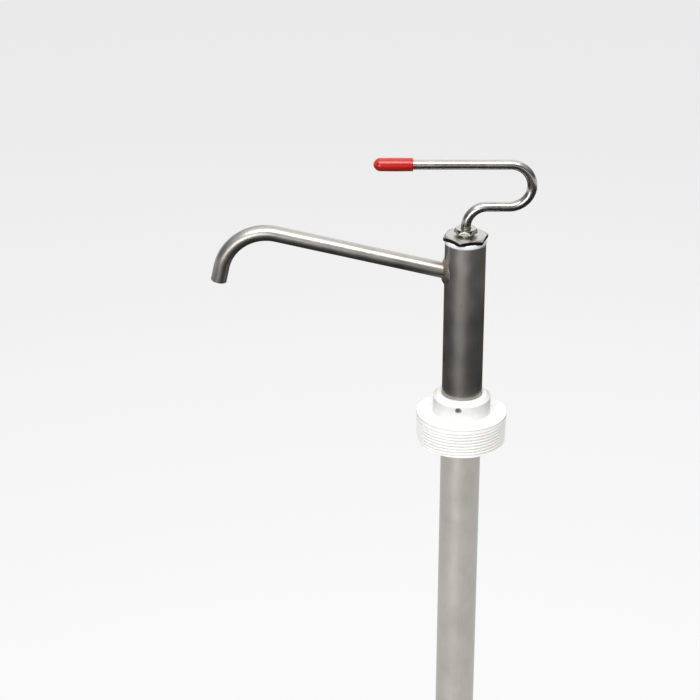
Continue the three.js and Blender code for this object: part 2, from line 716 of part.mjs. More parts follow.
// Turned body: a skirt that takes the screwed seat, a groove for the cup, and a neck with ports that
// screws onto the rod.
function pistonBody() {
  const skirtR = BARREL_BORE_R - SLIDE_FIT - LOOSE_FIT;
  const body = turned([
    [PISTON_SEAT_R, PISTON_BOTTOM],
    [skirtR, PISTON_BOTTOM],
    [skirtR, CUP_BOTTOM],
    [CUP_GROOVE_R, CUP_BOTTOM],
    [CUP_GROOVE_R, CUP_TOP],
    [skirtR, CUP_TOP],
    [skirtR, LIP_TOP],
    [PISTON_NECK_R, LIP_TOP],
    [PISTON_NECK_R, PISTON_TOP],
    [ROD_R + THREAD_FIT, PISTON_TOP],
    [ROD_R + THREAD_FIT, CHAMBER_TOP],
    [CHAMBER_R, CHAMBER_TOP],
    [CHAMBER_R, PISTON_SEAT_TOP],
    [PISTON_SEAT_R, PISTON_SEAT_TOP],
  ]);
  const ports = Array.from({ length: PISTON_PORTS }, (_, i) => {
    const angle = (2 * Math.PI * (i + 0.5)) / PISTON_PORTS;
    const outward = new THREE.Vector3(Math.cos(angle), Math.sin(angle), 0);
    return bar(
      outward.clone().multiplyScalar(CHAMBER_R / 2).setZ(PISTON_PORT_Z),
      outward.clone().multiplyScalar(PISTON_NECK_R + OVERCUT).setZ(PISTON_PORT_Z),
      PISTON_PORT_R,
    );
  });
  const pinReach = PISTON_NECK_R + OVERCUT;
  const pinHole = bar(
    new THREE.Vector3(-pinReach, 0, PISTON_PIN_Z),
    new THREE.Vector3(pinReach, 0, PISTON_PIN_Z),
    PISTON_PIN_R + SLIDE_FIT,
  );
  return cut(body, ...ports, pinHole);
}

// The cup seal: a ring whose lip leans out to the barrel at its upper edge.
function pistonCup() {
  const inner = CUP_GROOVE_R + SLIDE_FIT;
  const lip = BARREL_BORE_R - SLIDE_FIT / 2;
  const heel = BARREL_BORE_R - LOOSE_FIT;
  return turned([
    [inner, CUP_BOTTOM + SLIDE_FIT],
    [heel, CUP_BOTTOM + SLIDE_FIT],
    [heel, CUP_BOTTOM + CUP_HEIGHT / 2],
    [lip, CUP_TOP - CUP_LIP_HEIGHT],
    [lip, CUP_TOP - SLIDE_FIT],
    [inner + CUP_ROOT_WALL, CUP_TOP - SLIDE_FIT],
    [inner, CUP_BOTTOM + CUP_HEIGHT / 2],
  ]);
}

piece(rod, "piston_body", pistonBody(), brightSteel);
piece(rod, "piston_cup", pistonCup(), sealPlastic);
piece(
  rod,
  "piston_seat",
  ring(PISTON_SEAT_R - THREAD_FIT, PISTON_SEAT_BORE_R, PISTON_BOTTOM, PISTON_SEAT_TOP, SIDES_ROD),
  brightSteel,
);
piece(rod, "piston_ball", ball(PISTON_BALL_R, PISTON_BALL_Z), ballSteel);
piece(
  rod,
  "piston_ball_pin",
  bar(
    new THREE.Vector3(-(PISTON_NECK_R - SLIDE_FIT), 0, PISTON_PIN_Z),
    new THREE.Vector3(PISTON_NECK_R - SLIDE_FIT, 0, PISTON_PIN_Z),
    PISTON_PIN_R,
  ),
  brightSteel,
);
piece(
  rod,
  "piston_jam_nut",
  cut(
    overlap(
      hexBar(JAM_FLATS, PISTON_TOP, PISTON_TOP + JAM_THICK),
      cornerCone(JAM_FLATS, PISTON_TOP, PISTON_TOP + JAM_THICK),
    ),
    disc(ROD_R + THREAD_FIT, PISTON_TOP - OVERCUT, PISTON_TOP + JAM_THICK + OVERCUT, SIDES_ROD),
  ),
  brightSteel,
);

export default pump;
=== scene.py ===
"""Looks of the hand pump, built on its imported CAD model.

Each visible node is replaced by a finer mesh of the same size: surfaces of revolution, bars along
bent lines and hexagons, all computed with numpy and rounded at their edges. Lengths in this file's
own sums are in millimetres, and MM turns them to metres when a mesh is made.
"""

import json
import math

import bpy
import numpy as np
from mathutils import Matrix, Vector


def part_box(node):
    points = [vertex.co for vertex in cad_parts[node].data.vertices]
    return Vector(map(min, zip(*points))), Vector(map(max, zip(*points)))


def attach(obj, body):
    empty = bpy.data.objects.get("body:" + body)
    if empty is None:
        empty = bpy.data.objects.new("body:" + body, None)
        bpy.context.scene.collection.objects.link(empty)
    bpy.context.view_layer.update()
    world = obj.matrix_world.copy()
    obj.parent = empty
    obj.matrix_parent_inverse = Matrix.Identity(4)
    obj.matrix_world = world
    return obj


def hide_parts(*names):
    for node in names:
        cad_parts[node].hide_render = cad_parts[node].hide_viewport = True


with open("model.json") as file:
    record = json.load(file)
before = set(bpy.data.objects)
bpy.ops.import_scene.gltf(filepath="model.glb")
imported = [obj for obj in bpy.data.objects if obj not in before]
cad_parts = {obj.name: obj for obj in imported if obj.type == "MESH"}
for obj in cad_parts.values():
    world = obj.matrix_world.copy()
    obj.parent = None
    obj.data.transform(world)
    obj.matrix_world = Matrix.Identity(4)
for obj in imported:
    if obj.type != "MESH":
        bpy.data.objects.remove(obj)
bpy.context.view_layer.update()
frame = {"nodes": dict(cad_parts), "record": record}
MM = 0.001
TAU = 2 * math.pi
EDGE_STEPS = 4  # points on each rounded edge


# ---------------------------------------------------------------- sizes read from the frame


def span(node, axis):
    """Lowest and highest coordinate of a CAD node along axis 0, 1 or 2, in millimetres."""
    low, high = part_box(node)
    return low[axis] / MM, high[axis] / MM


BARREL_R = span("barrel_tube", 0)[1]
BARREL_BOTTOM, BARREL_TOP = span("barrel_tube", 2)
BARREL_WALL = 2.11
BARREL_BORE_R = BARREL_R - BARREL_WALL
GASKET_TOP = span("cap_gasket", 2)[1]
GASKET_R = span("cap_gasket", 0)[1]
SHANK_BOTTOM, CAP_TOP = span("hex_cap", 2)
GLAND_NECK_BOTTOM, GLAND_TOP = span("packing_nut", 2)
ROD_R = span("pump_rod", 1)[1]
ROD_BOTTOM, HANDLE_CREST = span("pump_rod", 2)
GRIP_TIP, GRIP_MOUTH = span("handle_grip", 0)
PLUG_BOTTOM, BOSS_TOP = span("bung_adapter", 2)
PLUG_R = span("bung_adapter", 0)[1]
FOOT_PLUG_BOTTOM, FOOT_PLUG_TOP = span("foot_plug", 2)
FOOT_SEAT_BOTTOM, FOOT_SEAT_TOP = span("foot_seat", 2)
FOOT_BALL_LOW, FOOT_BALL_HIGH = span("foot_ball", 2)
PIN_LOW, PIN_HIGH = span("ball_stop_pin", 2)
PIN_REACH = span("ball_stop_pin", 1)[1]

CAP_FLATS = 26.2
CAP_TURN = math.radians(12.7)
CAP_BEVEL_INSET = 0.3
CAP_BEVEL_SLOPE = math.radians(24)
SHANK_R = 11.05
GLAND_FLATS = 13.46
GLAND_THICK = 3.0
GLAND_TURN = math.radians(-9)
GLAND_BOTTOM = GLAND_TOP - GLAND_THICK
GLAND_BEVEL_INSET = 0.15
GLAND_BEVEL_SLOPE = math.radians(60)
ROD_BORE_R = ROD_R + 0.2
STUFFING_R = 5.25
STUFFING_FLOOR = CAP_TOP - 12.7
GASKET_BORE_R = 11.35
GASKET_LIP = 0.5

SPOUT_R = 5.1435
SPOUT_WALL = 1.24
SPOUT_AXIS_Z = 98.25
SPOUT_SLOPE = math.radians(13.2)
SPOUT_STRAIGHT = 125.0
SPOUT_BEND_R = 29.7
SPOUT_BEND = math.radians(91)
SPOUT_TAIL = 10.0
SPOUT_START = 20.0  # where its line begins, measured from the barrel's axis
SPOUT_LIP = 0.28

HANDLE_Z = HANDLE_CREST - ROD_R
NECK_BEND_R = 13.5
HANDLE_REACH = 27.3
RETURN_BEND_R = 14.3
HANDLE_LENGTH = 85.3
ROD_EDGE = 0.4
GRIP_BORE_DEPTH = 23.7
GRIP_NOSE = 4.1
GRIP_SWELL = 0.1

BOSS_R = 19.05
BOSS_CHAMFER = 2.7
ADAPTER_BORE_R = BARREL_R + 0.2
THREAD_PITCH = 2.209
THREAD_DEPTH = 1.55
THREAD_TAPER = 1 / 32
THREAD_END = -2.2
SCREW_HOLE_R = 2.15
SCREW_FLOOR_R = 13.9
SCREW_Z = 8.6
SCREW_TURN = math.radians(-90 - 9.4)

NOTCH_HALF = 3.5
NOTCH_HEIGHT = 8.0
FOOT_FIT_R = BARREL_BORE_R - 0.15

BARREL_DROP = 76.0  # the barrel slides this far down in the adapter, and the floor is clear of it


# ---------------------------------------------------------------- meshes from grids of points


def ring_angles(count):
    """Evenly spaced angles round a turn, tau k / count."""
    return np.arange(count) * (TAU / count)


def mesh_object(name, points, faces, flow=None, smooth_angle=40.0):
    """A mesh object from points in millimetres and a list of face arrays, turned to face outward.

    The signed volume, sum of a . (b x c) / 6 over the triangles, says which way the faces look.
    """
    points = np.asarray(points, float)
    volume = 0.0
    for group in faces:
        for k in range(1, group.shape[1] - 1):
            a, b, c = points[group[:, 0]], points[group[:, k]], points[group[:, k + 1]]
            volume += np.einsum("ij,ij->i", a, np.cross(b, c)).sum()
    if volume < 0:
        faces = [group[:, ::-1] for group in faces]
    mesh = bpy.data.meshes.new(name)
    corners = np.concatenate([group.reshape(-1) for group in faces])
    sizes = np.concatenate([np.full(len(group), group.shape[1]) for group in faces])
    mesh.vertices.add(len(points))
    mesh.vertices.foreach_set("co", (points * MM).astype(np.float32).ravel())
    mesh.loops.add(len(corners))
    mesh.loops.foreach_set("vertex_index", corners.astype(np.int32))
    mesh.polygons.add(len(sizes))
    starts = np.concatenate([[0], np.cumsum(sizes)[:-1]])
    mesh.polygons.foreach_set("loop_start", starts.astype(np.int32))
    mesh.polygons.foreach_set("use_smooth", np.ones(len(sizes), bool))
    if flow is not None:
        attribute = mesh.attributes.new("flow", "FLOAT_VECTOR", "POINT")
        attribute.data.foreach_set("vector", (np.asarray(flow) * MM).astype(np.float32).ravel())
    mesh.update(calc_edges=True)
    mesh.validate()
    mesh.set_sharp_from_angle(angle=math.radians(smooth_angle))
    piece = bpy.data.objects.new(name, mesh)
    bpy.context.scene.collection.objects.link(piece)
    return piece


def grid_faces(rows, columns, joined_rows):
    """Quads between neighbouring rows, wrapping round the columns, and the rows if joined."""
    index = np.arange(rows * columns).reshape(rows, columns)
    below = index if joined_rows else index[:-1]
    above = np.roll(index, -1, axis=0) if joined_rows else index[1:]
    quads = [below, np.roll(below, -1, axis=1), np.roll(above, -1, axis=1), above]
    return np.stack([q.reshape(-1) for q in quads], axis=1)


def grid_object(name, rings, flow=None, joined=False, smooth_angle=40.0):
    """A closed skin through rings of points, an array of rings x points x 3.

    The rings join end to end into a loop, or each end ring is closed by a fan round its middle.
    """
    rows, columns, _ = rings.shape
    points = rings.reshape(-1, 3)
    along = rings if flow is None else flow
    along = along.reshape(-1, 3)
    faces = [grid_faces(rows, columns, joined)]
    if not joined:
        for ring, first in ((rings[0], 0), (rings[-1], (rows - 1) * columns)):
            centre = len(points)
            points = np.vstack([points, ring.mean(axis=0)])
            along = np.vstack([along, along[first : first + columns].mean(axis=0)])
            around = first + np.arange(columns)
            fan = np.stack([around, np.roll(around, -1), np.full(columns, centre)], axis=1)
            faces.append(fan if first else fan[:, ::-1])
    return mesh_object(name, points, faces, along, smooth_angle)


def rounded(profile, radius, closed):
    """A profile with its corners rounded by arcs of a radius, one number or one per corner.

    An arc touches both edges at t = r / tan(angle / 2) from the corner, at most 0.45 of the shorter
    edge. A point just outside each end of an arc keeps the shading of the flats flat.
    """
    corners = np.asarray(profile, float)
    count = len(corners)
    radii = np.broadcast_to(np.asarray(radius, float), (count,))
    result = []
    for i in range(count):
        here, r = corners[i], radii[i]
        if (not closed and i in (0, count - 1)) or r <= 0:
            result.append(here)
            continue
        to_last, to_next = corners[i - 1] - here, corners[(i + 1) % count] - here
        last_len, next_len = np.linalg.norm(to_last), np.linalg.norm(to_next)
        u, v = to_last / last_len, to_next / next_len
        angle = math.acos(max(-1.0, min(1.0, float(u @ v))))
        if angle > math.radians(175):
            result.append(here)
            continue
        touch = min(r / math.tan(angle / 2), 0.45 * min(last_len, next_len))
        r = touch * math.tan(angle / 2)
        middle = (u + v) / np.linalg.norm(u + v)
        centre = here + middle * (r / math.sin(angle / 2))
        start, end = here + u * touch - centre, here + v * touch - centre
        sweep = math.pi - angle
        turn = math.copysign(sweep, start[0] * end[1] - start[1] * end[0])
        result.append(here + u * min(touch * 1.3, 0.48 * last_len))
        for k in range(EDGE_STEPS + 1):
            a = turn * k / EDGE_STEPS
            c, s = math.cos(a), math.sin(a)
            result.append(centre + [c * start[0] - s * start[1], s * start[0] + c * start[1]])
        result.append(here + v * min(touch * 1.3, 0.48 * next_len))
    return np.array(result)


def turned(name, profile, radius=0.2, sides=128, smooth_angle=40.0, flow=False):
    """A profile of (radius, height) turned about Z: (r cos t, r sin t, z).

    It starts and ends on the axis, or is closed on itself. The points are also their own flow when
    flow is true.
    """
    on_axis = profile[0][0] == 0 and profile[-1][0] == 0
    line = rounded(profile, radius, closed=not on_axis)
    if on_axis:
        line = line[(line[:, 0] > 1e-6)]
    t = ring_angles(sides)
    r, z = line[:, :1], line[:, 1:]
    rings = np.stack([r * np.cos(t), r * np.sin(t), z + 0 * t], axis=2)
    return grid_object(name, rings, rings if flow else None, not on_axis, smooth_angle)


def further(row, d):
    """A row of a bent line carried a distance d along its own heading."""
    x, z, h, run = row
    return (x + d * math.cos(h), z + d * math.sin(h), h, run + d)


def bent_line(start, heading, parts, step=math.radians(3)):
    """Rows of (x, z, heading, length so far) along straights and bends in the XZ plane.

    A part is ("straight", length) or ("bend", radius, angle), and a heading goes from +X to +Z. A
    bend's points are c + side r (sin h, -cos h), where side is the angle's sign.
    """
    x, z = start
    rows, run = [(x, z, heading, 0.0)], 0.0
    for part in parts:
        if part[0] == "straight":
            pieces = max(2, int(part[1] / 8))
            for k in range(1, pieces + 1):
                rows.append(further((x, z, heading, run), part[1] * k / pieces))
            x, z, run = rows[-1][0], rows[-1][1], run + part[1]
        else:
            radius, angle = part[1], part[2]
            side = math.copysign(1.0, angle)
            cx = x - side * radius * math.sin(heading)
            cz = z + side * radius * math.cos(heading)
            pieces = max(4, int(abs(angle) / step))
            for k in range(1, pieces + 1):
                h = heading + angle * k / pieces
                length = run + radius * abs(angle) * k / pieces
                across, up = side * radius * math.sin(h), side * radius * math.cos(h)
                rows.append((cx + across, cz - up, h, length))
            x, z, run = rows[-1][0], rows[-1][1], run + radius * abs(angle)
            heading += angle
    return np.array(rows)


def rings_about_z(rows, t):
    """Rings (r cos t, r sin t, z) from rows of (r, z), each a number or an array over t."""
    return np.stack([
        np.stack(np.broadcast_arrays(r * np.cos(t), r * np.sin(t), z), axis=1) for r, z in rows])


def rings_along(line, radii, sides):
    """Circles of the given radii across a bent line: c + r cos(a) n + r sin(a) y.

    n is the line's normal in its plane. Also gives (r cos a, r sin a, length) for the grain.
    """
    a = ring_angles(sides)
    x, z, h, run = (line[:, k : k + 1] for k in range(4))
    r = np.asarray(radii, float)[:, None]
    across, aside = r * np.cos(a), r * np.sin(a)
    rings = np.stack([x - np.sin(h) * across, aside, z + np.cos(h) * across], axis=2)
    return rings, np.stack([across, aside, run + 0 * a], axis=2)


def eased_ends(line, radius, edge):
    """A bar's rows and radii with both ends rounded by extra rows on a quarter circle.

    At angle a the row lies edge (1 - cos a) in from the end, and its radius is edge (1 - sin a)
    short of the bar's.
    """
    a = np.linspace(0, math.pi / 2, EDGE_STEPS + 1)
    inward = edge * (1 - np.cos(a))
    grow = radius - edge * (1 - np.sin(a))
    head = [further(line[0], d) for d in inward]
    tail = [further(line[-1], -d) for d in inward[::-1]]
    rows = np.array(head + [tuple(row) for row in line[1:-1]] + tail)
    radii = np.concatenate([grow, np.full(len(line) - 2, radius), grow[::-1]])
    return rows, radii


# ---------------------------------------------------------------- node groups


def node_group(name, inputs, outputs):
    """An empty shader group with named sockets: (name, type, default) in, (name, type) out."""
    tree = bpy.data.node_groups.new(name, "ShaderNodeTree")
    for label, kind, default in inputs:
        socket = tree.interface.new_socket(label, in_out="INPUT", socket_type=kind)
        if default is not None:
            socket.default_value = default
    for label, kind in outputs:
        tree.interface.new_socket(label, in_out="OUTPUT", socket_type=kind)
    return tree, tree.nodes.new("NodeGroupInput"), tree.nodes.new("NodeGroupOutput")


def add(tree, kind, links=None, **settings):
    """A node with properties set, and its inputs set or linked by name or number."""
    node = tree.nodes.new(kind)
    for key, value in settings.items():
        setattr(node, key, value)
    for key, value in (links or {}).items():
        socket = node.inputs[key]
        if isinstance(value, bpy.types.NodeSocket):
            tree.links.new(value, socket)
        else:
            socket.default_value = value
    return node


def remap(tree, value, low, high, to_low=0.0, to_high=1.0):
    """Value from low..high to another range, clamped."""
    node = add(tree, "ShaderNodeMapRange", {"Value": value, "From Min": low, "From Max": high})
    node.inputs["To Min"].default_value = to_low
    node.inputs["To Max"].default_value = to_high
    return node.outputs["Result"]


def blend_colour(tree, factor, first, second):
    """First colour at a factor of 0, second at 1."""
    node = add(tree, "ShaderNodeMix", {"Factor": factor}, data_type="RGBA")
    for key, value in ((6, first), (7, second)):
        if isinstance(value, bpy.types.NodeSocket):
            tree.links.new(value, node.inputs[key])
        else:
            node.inputs[key].default_value = value
    return node.outputs[2]


def sums(tree, operation, first, second):
    """One sum with two values, each a number or a socket."""
    node = add(tree, "ShaderNodeMath", {0: first, 1: second}, operation=operation)
    return node.outputs[0]


def vectors(tree, operation, first, second):
    """One sum with two vectors, done on each coordinate."""
    node = add(tree, "ShaderNodeVectorMath", {0: first, 1: second}, operation=operation)
    return node.outputs[0]


def noise(tree, vector, scale, detail, roughness=0.5):
    links = {"Vector": vector, "Scale": scale, "Detail": detail, "Roughness": roughness}
    return add(tree, "ShaderNodeTexNoise", links).outputs


FLOAT, VECTOR = "NodeSocketFloat", "NodeSocketVector"


def make_metal_wear():
    """Grain along the third coordinate, soft blotches and sparse hairline scratches.

    The hairlines are the edges of Voronoi cells whose coordinates a slow noise has bent, kept only
    in the patches where another noise is high.
    """
    tree, given, out = node_group(
        "metal_wear",
        [("Vector", VECTOR, None), ("Grain Across", FLOAT, 2600.0), ("Grain Along", FLOAT, 90.0),
         ("Blotch", FLOAT, 60.0), ("Scratch", FLOAT, 160.0)],
        [("Grain", FLOAT), ("Blotch", FLOAT), ("Scratches", FLOAT)],
    )
    vector = given.outputs["Vector"]
    across, along = given.outputs["Grain Across"], given.outputs["Grain Along"]
    scale = add(tree, "ShaderNodeCombineXYZ", {0: across, 1: across, 2: along})
    stretched = vectors(tree, "MULTIPLY", vector, scale.outputs[0])
    grain = noise(tree, stretched, 1.0, 4.0, 0.62)["Fac"]
    blotch = noise(tree, vector, given.outputs["Blotch"], 3.0)["Fac"]
    bend = vectors(tree, "MULTIPLY", noise(tree, vector, 35.0, 1.0)["Color"], (0.006, 0.006, 0.012))
    cells = add(tree, "ShaderNodeTexVoronoi", {
        "Vector": vectors(tree, "ADD", vector, bend), "Scale": given.outputs["Scratch"]},
        feature="DISTANCE_TO_EDGE")
    hair = remap(tree, cells.outputs["Distance"], 0.0, 0.018, 1.0, 0.0)
    sparse = remap(tree, noise(tree, vector, 48.0, 2.0)["Fac"], 0.56, 0.7)
    tree.links.new(grain, out.inputs["Grain"])
    tree.links.new(blotch, out.inputs["Blotch"])
    tree.links.new(sums(tree, "MULTIPLY", hair, sparse), out.inputs["Scratches"])
    return tree


def make_near():
    """One at a point, falling smoothly to nothing at a distance from it."""
    tree, given, out = node_group(
        "near_point",
        [("Vector", VECTOR, None), ("Point", VECTOR, (0, 0, 0)), ("Reach", FLOAT, 0.01)],
        [("Mask", FLOAT)],
    )
    apart = add(tree, "ShaderNodeVectorMath", {
        0: given.outputs["Vector"], 1: given.outputs["Point"]}, operation="DISTANCE")
    share = sums(tree, "DIVIDE", apart.outputs["Value"], given.outputs["Reach"])
    mask = add(tree, "ShaderNodeMapRange", {"Value": share, "From Min": 1.0, "From Max": 0.0},
               interpolation_type="SMOOTHSTEP")
    tree.links.new(mask.outputs["Result"], out.inputs["Mask"])
    return tree


METAL_WEAR = make_metal_wear()
NEAR_POINT = make_near()


def material(name):
    """A new material, its node tree and its Principled shader."""
    made = bpy.data.materials.new(name)
    made.use_nodes = True
    tree = made.node_tree
    return made, tree, tree.nodes["Principled BSDF"]


def use(tree, group, **links):
    """A shader group placed in a material, with its inputs set or linked by name."""
    node = tree.nodes.new("ShaderNodeGroup")
    node.node_tree = group
    for key, value in links.items():
        socket = node.inputs[key.replace("_", " ")]
        if isinstance(value, bpy.types.NodeSocket):
            tree.links.new(value, socket)
        else:
            socket.default_value = value
    return node


def bump(tree, height, distance, strength=1.0):
    """The normal of a surface raised by a height of 0 to 1 times a distance in metres."""
    links = {"Height": height, "Distance": distance, "Strength": strength}
    node = add(tree, "ShaderNodeBump", links)
    return node.outputs["Normal"]


# ---------------------------------------------------------------- materials


HEAT_TINT, HEAT_STRENGTH = (0.2, 0.17, 0.13, 1), 0.45
HEAT_REACH = 0.021  # metres from the weld
RUB_TINT, RUB_STRENGTH = (0.05, 0.046, 0.04, 1), 0.6
RUB_BOX = ((-0.0028, -0.0142, 0.079), (-0.0022, -0.0122, 0.085))  # metres, on the barrel's front
SCRATCH_LIFT, SCRATCH_STRENGTH, SCRATCH_ROUGH = 1.5, 0.35, 0.12


def painted_facing_light(tree, colour, sides, painted_bevel_tone):
    """Painted light and shade by facing: one tone where the surface looks sideways, another halfway
    up.
    """
    normal = add(tree, "ShaderNodeNewGeometry").outputs["Normal"]
    up = add(tree, "ShaderNodeSeparateXYZ", {0: normal}).outputs[2]
    colour = blend_colour(tree, remap(tree, up, 0.75, 0.35), colour, sides)
    if painted_bevel_tone:
        rising, falling = remap(tree, up, 0.25, 0.4), remap(tree, up, 0.8, 0.65)
        colour = blend_colour(tree, sums(tree, "MULTIPLY", rising, falling), colour, painted_bevel_tone)
    return colour


def rubbed(tree, place, colour, low, high):
    """A colour with one dark rub in a box from low to high, fading to the box's ellipsoid."""
    centre = tuple((a + b) / 2 for a, b in zip(low, high))
    spread = tuple(2 / (b - a) for a, b in zip(low, high))
    scaled = vectors(tree, "MULTIPLY", vectors(tree, "SUBTRACT", place, centre), spread)
    length = add(tree, "ShaderNodeVectorMath", {0: scaled}, operation="LENGTH")
    mark = remap(tree, length.outputs["Value"], 1.0, 0.2)
    return blend_colour(tree, sums(tree, "MULTIPLY", mark, RUB_STRENGTH), colour, RUB_TINT)


def steel(name, dark, light, rough, rough_range, grain_depth, source="flow", heat=None, rub=None,
          sides=None, painted_bevel_tone=None, **wear):
    """Stainless steel: a colour that drifts between two tones, grain, blotches and hairlines.

    heat is a point round which a weld has tinted the metal, rub is a pair of corners of a box that
    holds a short dark mark, and the last two give painted light and shade: a tone for faces that
    look sideways and one for faces that look halfway up.
    """
    made, tree, shader = material(name)
    place = add(tree, "ShaderNodeTexCoord").outputs["Object"]
    coords = place
    if source == "flow":
        coords = add(tree, "ShaderNodeAttribute", attribute_name="flow").outputs["Vector"]
    worn = use(tree, METAL_WEAR, Vector=coords, **wear).outputs
    tone = sums(tree, "MULTIPLY", remap(tree, worn["Blotch"], 0.3, 0.7), 0.6)
    streak = sums(tree, "MULTIPLY", remap(tree, worn["Grain"], 0.3, 0.7), 0.4)
    colour = blend_colour(tree, sums(tree, "ADD", tone, streak), dark, light)
    scratched = sums(tree, "MULTIPLY", worn["Scratches"], SCRATCH_STRENGTH)
    bare = tuple(min(1.0, c * SCRATCH_LIFT) for c in light[:3]) + (1,)
    colour = blend_colour(tree, scratched, colour, bare)
    # painted light and shade: the colour turns to the given tones by which way the surface faces
    if sides:
        colour = painted_facing_light(tree, colour, sides, painted_bevel_tone)
    if heat:
        near = use(tree, NEAR_POINT, Vector=place, Point=heat, Reach=HEAT_REACH).outputs["Mask"]
        ragged = sums(tree, "MULTIPLY", near, remap(tree, worn["Blotch"], 0.2, 0.6))
        colour = blend_colour(
            tree, sums(tree, "MULTIPLY", ragged, HEAT_STRENGTH), colour, HEAT_TINT)
    if rub:
        colour = rubbed(tree, place, colour, *rub)
    tree.links.new(colour, shader.inputs["Base Color"])
    shader.inputs["Metallic"].default_value = 1.0
    gloss = remap(tree, worn["Blotch"], 0.3, 0.7, rough - rough_range, rough + rough_range)
    dull = sums(tree, "MULTIPLY", worn["Scratches"], SCRATCH_ROUGH)
    tree.links.new(sums(tree, "ADD", gloss, dull), shader.inputs["Roughness"])
    cuts = sums(tree, "MULTIPLY", worn["Scratches"], 0.6)
    height = sums(tree, "SUBTRACT", worn["Grain"], cuts)
    tree.links.new(bump(tree, height, grain_depth), shader.inputs["Normal"])
    return made


def plastic(name, light, dark, rough, scale, depth, **settings):
    """Moulded or machined plastic: slight tone drift, fine surface grain and uneven gloss."""
    made, tree, shader = material(name)
    place = add(tree, "ShaderNodeTexCoord").outputs["Object"]
    wide = noise(tree, place, 55.0, 3.0)["Fac"]
    fine = noise(tree, place, scale, 4.0)["Fac"]
    tone = remap(tree, wide, 0.35, 0.65)
    tree.links.new(blend_colour(tree, tone, dark, light), shader.inputs["Base Color"])
    gloss = remap(tree, fine, 0.3, 0.7, rough - 0.06, rough + 0.06)
    tree.links.new(gloss, shader.inputs["Roughness"])
    tree.links.new(bump(tree, fine, depth), shader.inputs["Normal"])
    for key, value in settings.items():
        shader.inputs[key.replace("_", " ")].default_value = value
    return made


WELD_POINT = (-BARREL_R * MM, 0.0, (SPOUT_AXIS_Z + 3) * MM)  # where the spout meets the barrel

barrel_steel = steel(
    "barrel_steel", dark=(0.4, 0.378, 0.35, 1), light=(0.52, 0.497, 0.465, 1),
    rough=0.41, rough_range=0.05, grain_depth=0.00002, heat=WELD_POINT,
    rub=RUB_BOX)
spout_steel = steel(
    "spout_steel", dark=(0.4, 0.38, 0.35, 1), light=(0.5, 0.48, 0.45, 1),
    rough=0.34, rough_range=0.05, grain_depth=0.000015, heat=WELD_POINT)
bright_steel = steel(
    "bright_steel", dark=(0.44, 0.42, 0.39, 1), light=(0.58, 0.56, 0.53, 1),
    rough=0.22, rough_range=0.03, grain_depth=0.000003, Blotch=110.0)
# Its sides tone is painted shade: the hexagon's upright flats are coloured near black.
cap_steel = steel(
    "cap_steel", dark=(0.36, 0.345, 0.32, 1), light=(0.47, 0.455, 0.43, 1),
    rough=0.32, rough_range=0.06, grain_depth=0.000015, source="object",
    sides=(0.075, 0.066, 0.056, 1), Grain_Across=1500.0, Grain_Along=1500.0, Blotch=130.0)
# Its sides tone is a painted highlight on the hexagon's upright flats, and its bevel tone is
# painted shade on the sloping corners.
nut_steel = steel(
    "nut_steel", dark=(0.34, 0.325, 0.29, 1), light=(0.46, 0.44, 0.4, 1),
    rough=0.3, rough_range=0.06, grain_depth=0.000004, source="object",
    sides=(0.62, 0.6, 0.55, 1), painted_bevel_tone=(0.09, 0.078, 0.06, 1),
    Grain_Across=1500.0, Grain_Along=1500.0, Blotch=200.0)
weld_steel = steel(
    "weld_steel", dark=(0.34, 0.3, 0.255, 1), light=(0.58, 0.55, 0.5, 1),
    rough=0.42, rough_range=0.1, grain_depth=0.00008, source="object",
    Grain_Across=900.0, Grain_Along=900.0, Blotch=320.0)
ball_steel = steel(
    "ball_steel", dark=(0.62, 0.62, 0.61, 1), light=(0.7, 0.7, 0.69, 1),
    rough=0.1, rough_range=0.03, grain_depth=0.000004, source="object")
white_plastic = plastic(
    "white_plastic", light=(0.84, 0.84, 0.825, 1), dark=(0.78, 0.78, 0.76, 1),
    rough=0.46, scale=900.0, depth=0.00003, Subsurface_Weight=0.15, Subsurface_Scale=0.003)
seal_plastic = plastic(
    "seal_plastic", light=(0.88, 0.885, 0.91, 1), dark=(0.82, 0.825, 0.85, 1),
    rough=0.38, scale=700.0, depth=0.00002, Subsurface_Weight=0.2, Subsurface_Scale=0.002)
red_vinyl = plastic(
    "red_vinyl", light=(0.44, 0.012, 0.006, 1), dark=(0.38, 0.009, 0.005, 1),
    rough=0.5, scale=650.0, depth=0.000001, Specular_IOR_Level=0.05,
    Coat_Weight=0.9, Coat_Roughness=0.12, Coat_IOR=1.62)
black_rubber = plastic(
    "black_rubber", light=(0.02, 0.02, 0.02, 1), dark=(0.012, 0.012, 0.012, 1),
    rough=0.6, scale=900.0, depth=0.00003)


def finish(piece, look):
    """Gives a piece one material in place of any it has."""
    piece.data.materials.clear()
    piece.data.materials.append(look)


def stand_in(piece, look, slot, body, *nodes):
    """A finished fine piece in place of CAD nodes."""
    finish(piece, look)
    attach(piece, body)
    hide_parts(*nodes)


# ---------------------------------------------------------------- barrel


def barrel_skin():
    """Pipe with both ends eased: a rectangle of wall turned about Z, with rows up its side."""
    side = [(BARREL_R, z) for z in np.linspace(BARREL_BOTTOM, BARREL_TOP, 26)]
    wall = [(BARREL_BORE_R, BARREL_BOTTOM)] + side + [(BARREL_BORE_R, BARREL_TOP)]
    return turned("barrel_skin", wall, 0.3, 192, flow=True)


stand_in(barrel_skin(), barrel_steel, "tube_steel", "barrel", "barrel_tube")


# ---------------------------------------------------------------- spout and weld


def on_barrel(r, a, lift=0.0):
    """Where lines at angles a and radius r about the spout's axis meet the barrel.

    With R the barrel's radius and the lift together, they meet it
    d = (sqrt(R^2 - y^2) - r cos(a) sin(slope)) / cos(slope) along the spout's axis. Gives d,
    r cos(a), which is how far below the axis, and y = r sin(a).
    """
    below, y = r * np.cos(a), r * np.sin(a)
    outward = np.sqrt((BARREL_R + lift) ** 2 - y**2)
    d = (outward - below * math.sin(SPOUT_SLOPE)) / math.cos(SPOUT_SLOPE)
    return d, below, y


